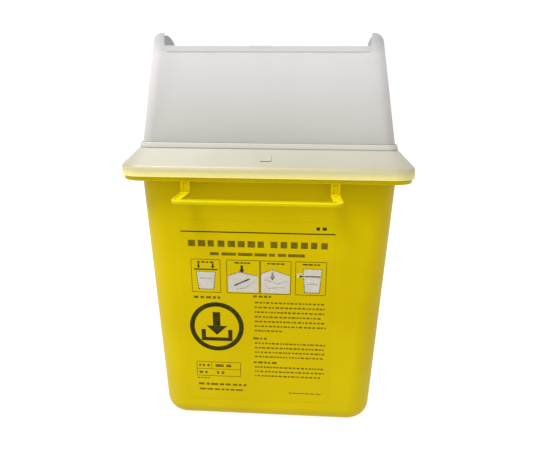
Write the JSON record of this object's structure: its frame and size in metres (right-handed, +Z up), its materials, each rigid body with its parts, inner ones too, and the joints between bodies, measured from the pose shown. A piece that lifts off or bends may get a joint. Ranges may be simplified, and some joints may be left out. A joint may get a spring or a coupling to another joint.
{
  "type": "sharps container",
  "caption": "Upright plastic sharps container: drafted tub, press-on lid with a swinging mouth cover, folding carry handle and front label.",
  "frame": {"origin": "on the floor, at the centre of the tub's flat base", "axes": "+Z up, -Y to the front with the label and the handle, +X to the right seen from the front"},
  "size_m": [0.211, 0.1885, 0.3068],
  "materials": {
    "tub_plastic": "semi-gloss moulded polypropylene, opaque yellow",
    "handle_plastic": "semi-gloss moulded polypropylene, yellow",
    "lid_plastic": "natural translucent polypropylene, satin",
    "cover_plastic": "natural translucent polypropylene, satin",
    "label_film": "printed yellow film with dark bars and simple drawings"
  },
  "bodies": {
    "root": {"container_body": "tub_plastic", "lid": "lid_plastic", "front_label": "label_film"},
    "cover": {"front_cover": "cover_plastic"},
    "handle": {"carry_handle": "handle_plastic"}
  },
  "joints": [
    {"name": "cover_hinge", "type": "hinge", "parent": "root", "child": "cover", "pos_m": [0, -0.0571, 0.226], "axis": [-1, 0, 0], "range_deg": [0, 92.65]},
    {"name": "handle_pivot", "type": "hinge", "parent": "root", "child": "handle", "pos_m": [-0.0036, -0.08, 0.1982], "axis": [-1, 0, 0], "range_deg": [-90, 75]}
  ]
}
